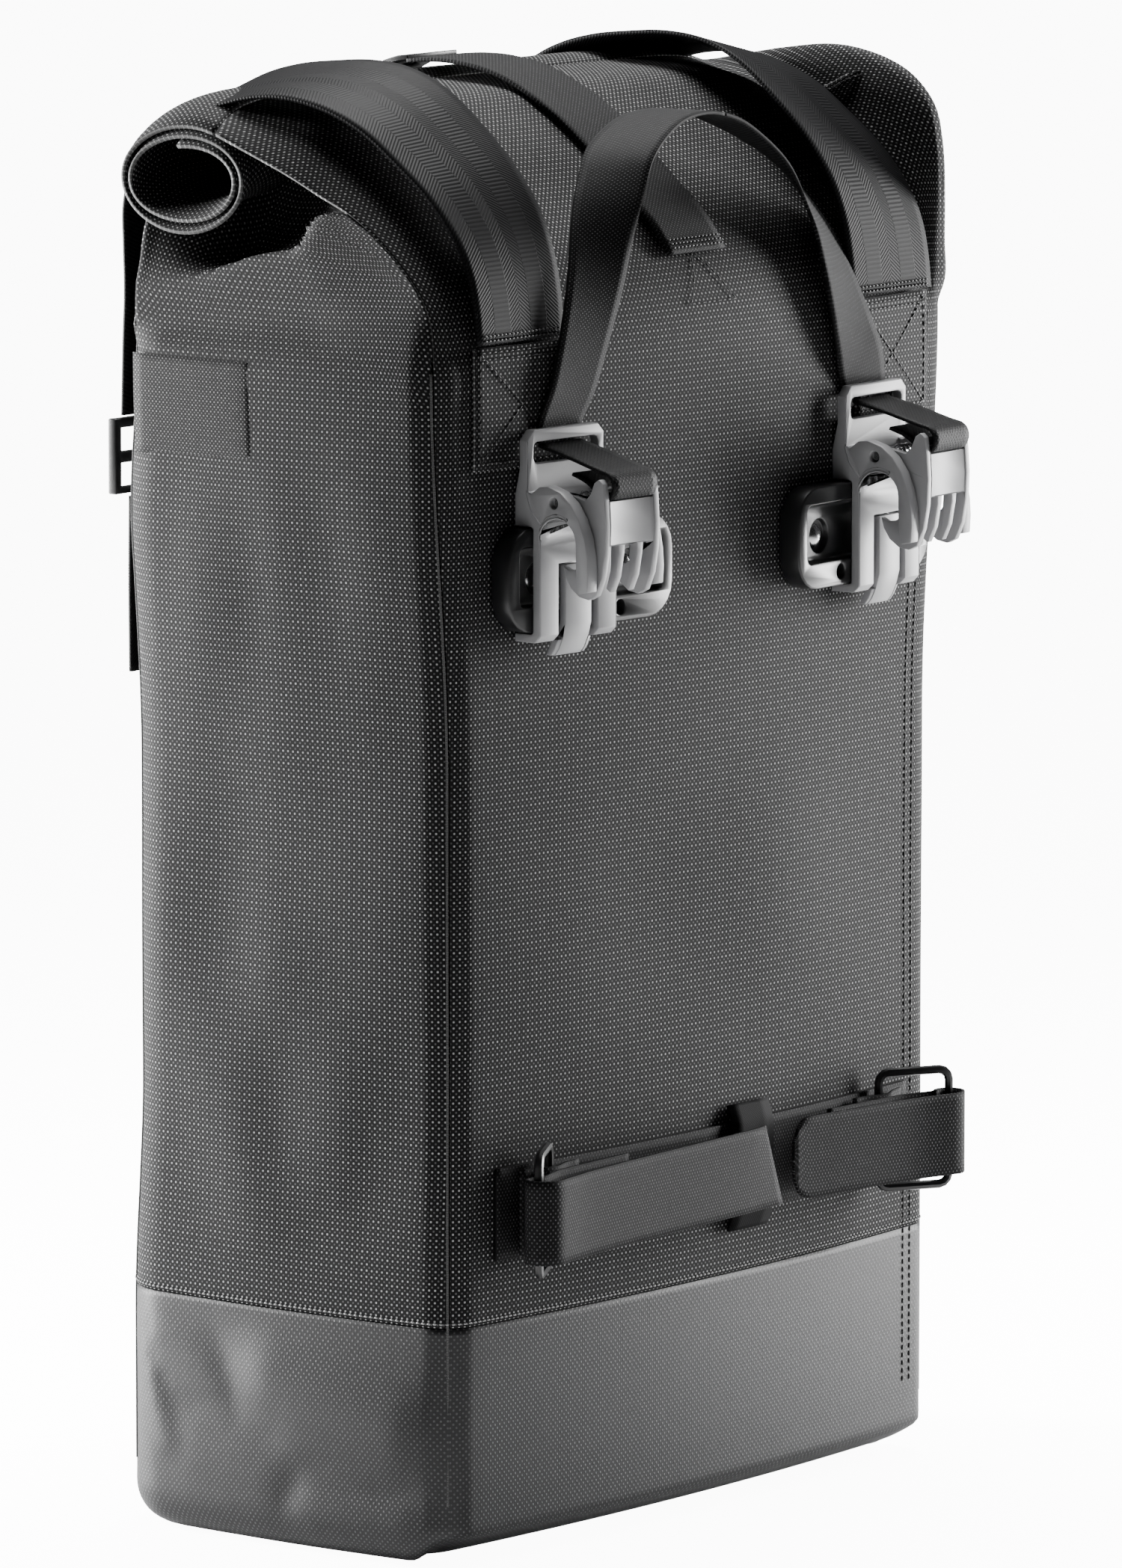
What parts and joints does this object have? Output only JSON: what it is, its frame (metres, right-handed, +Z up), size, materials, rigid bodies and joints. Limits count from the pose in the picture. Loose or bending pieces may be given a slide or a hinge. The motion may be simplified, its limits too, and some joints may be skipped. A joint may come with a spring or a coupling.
{
  "type": "pannier bag",
  "caption": "Roll-top bicycle pannier with coated base, wide straps over the roll, a carry handle and two sprung hooks on sliding rails.",
  "frame": {"origin": "centre of the flat base, on the surface the bag stands on", "axes": "+Z up, +X along the rack face, -Y out of the rack face towards the bicycle rack"},
  "size_m": [0.3235, 0.2119, 0.545],
  "materials": {
    "woven_fabric": "coarse woven, matte",
    "coated_fabric": "coated, fine weave",
    "webbing": "woven webbing",
    "grey_plastic": "satin moulded",
    "black_plastic": "satin moulded",
    "bright_steel": "bright",
    "black_metal": "black coated",
    "stiffener_sheet": "plain"
  },
  "bodies": {
    "bag": {"back_stiffener": "stiffener_sheet", "base_stiffener": "stiffener_sheet", "bottom_boot": "coated_fabric", "carry_handle": "webbing", "centre_strap": "webbing", "cinch_keeper": "webbing", "front_webbing": "webbing", "left_cinch_strap": "webbing", "left_nut_plate": "bright_steel", "left_rail": "black_plastic", "left_rail_left_screw": "bright_steel", "left_rail_right_screw": "bright_steel", "left_ring_tab": "webbing", "left_side_panel": "woven_fabric", "left_strap_anchor": "webbing", "left_strap_buckle": "black_metal", "left_strap_patch": "woven_fabric", "left_wide_strap": "webbing", "lower_webbing": "webbing", "outer_panel": "woven_fabric", "rack_panel": "woven_fabric", "right_cinch_strap": "webbing", "right_nut_plate": "bright_steel", "right_rail": "black_plastic", "right_rail_left_screw": "bright_steel", "right_rail_right_screw": "bright_steel", "right_ring_tab": "webbing", "right_side_panel": "woven_fabric", "right_strap_anchor": "webbing", "right_strap_buckle": "black_metal", "right_strap_patch": "woven_fabric", "right_wide_strap": "webbing", "roll_top": "woven_fabric", "side_patch": "woven_fabric"},
    "left_hook": {"left_hook_body": "grey_plastic", "left_latch_pin": "bright_steel", "left_latch_spring": "bright_steel"},
    "left_latch": {"left_latch": "grey_plastic", "left_pull_loop": "webbing"},
    "left_lock": {"left_lock_tongue": "grey_plastic"},
    "left_ring_loop": {"left_ring": "black_plastic"},
    "right_hook": {"right_hook_body": "grey_plastic", "right_latch_pin": "bright_steel", "right_latch_spring": "bright_steel"},
    "right_latch": {"right_latch": "grey_plastic", "right_pull_loop": "webbing"},
    "right_lock": {"right_lock_tongue": "grey_plastic"},
    "right_ring_loop": {"right_ring": "black_plastic"},
    "closure": {"closure_hook": "black_metal"}
  },
  "joints": [
    {"name": "left_hook_slide", "type": "slide", "parent": "bag", "child": "left_hook", "axis": [0.9978, -0.0663, 0], "range_m": [-0.0065, 0.0295]},
    {"name": "left_latch_hinge", "type": "hinge", "parent": "left_hook", "child": "left_latch", "pos_m": [-0.09573, -0.1043, 0.3916], "axis": [-0.9978, 0.0663, 0], "range_deg": [0, 40], "stiffness_Nm_per_rad": 0.08, "springref_deg": -17.19, "deforming": ["left_pull_loop"]},
    {"name": "left_lock_flex", "type": "hinge", "parent": "left_hook", "child": "left_lock", "pos_m": [-0.09521, -0.09646, 0.3675], "axis": [-0.9978, 0.0663, 0], "range_deg": [0, 12], "stiffness_Nm_per_rad": 0.05, "springref_deg": -8.59},
    {"name": "left_ring_swing", "type": "hinge", "parent": "bag", "child": "left_ring_loop", "pos_m": [-0.1015, -0.0893, 0.1315], "axis": [0, 0, 1], "range_deg": [0, 60], "deforming": ["left_cinch_strap"]},
    {"name": "right_hook_slide", "type": "slide", "parent": "bag", "child": "right_hook", "axis": [0.9978, 0.0663, 0], "range_m": [-0.0295, 0.0065]},
    {"name": "right_latch_hinge", "type": "hinge", "parent": "right_hook", "child": "right_latch", "pos_m": [0.09573, -0.1043, 0.3916], "axis": [-0.9978, -0.0663, 0], "range_deg": [0, 40], "stiffness_Nm_per_rad": 0.08, "springref_deg": -17.19, "deforming": ["right_pull_loop"]},
    {"name": "right_lock_flex", "type": "hinge", "parent": "right_hook", "child": "right_lock", "pos_m": [0.09521, -0.09646, 0.3675], "axis": [-0.9978, -0.0663, 0], "range_deg": [0, 12], "stiffness_Nm_per_rad": 0.05, "springref_deg": -8.59},
    {"name": "right_ring_swing", "type": "hinge", "parent": "bag", "child": "right_ring_loop", "pos_m": [0.1015, -0.0893, 0.1315], "axis": [0, 0, 1], "range_deg": [-60, 0], "deforming": ["right_cinch_strap"]},
    {"name": "closure_hook_hinge", "type": "hinge", "parent": "bag", "child": "closure", "pos_m": [0, 0.0452, 0.5396], "axis": [1, 0, 0], "range_deg": [0, 60]}
  ]
}
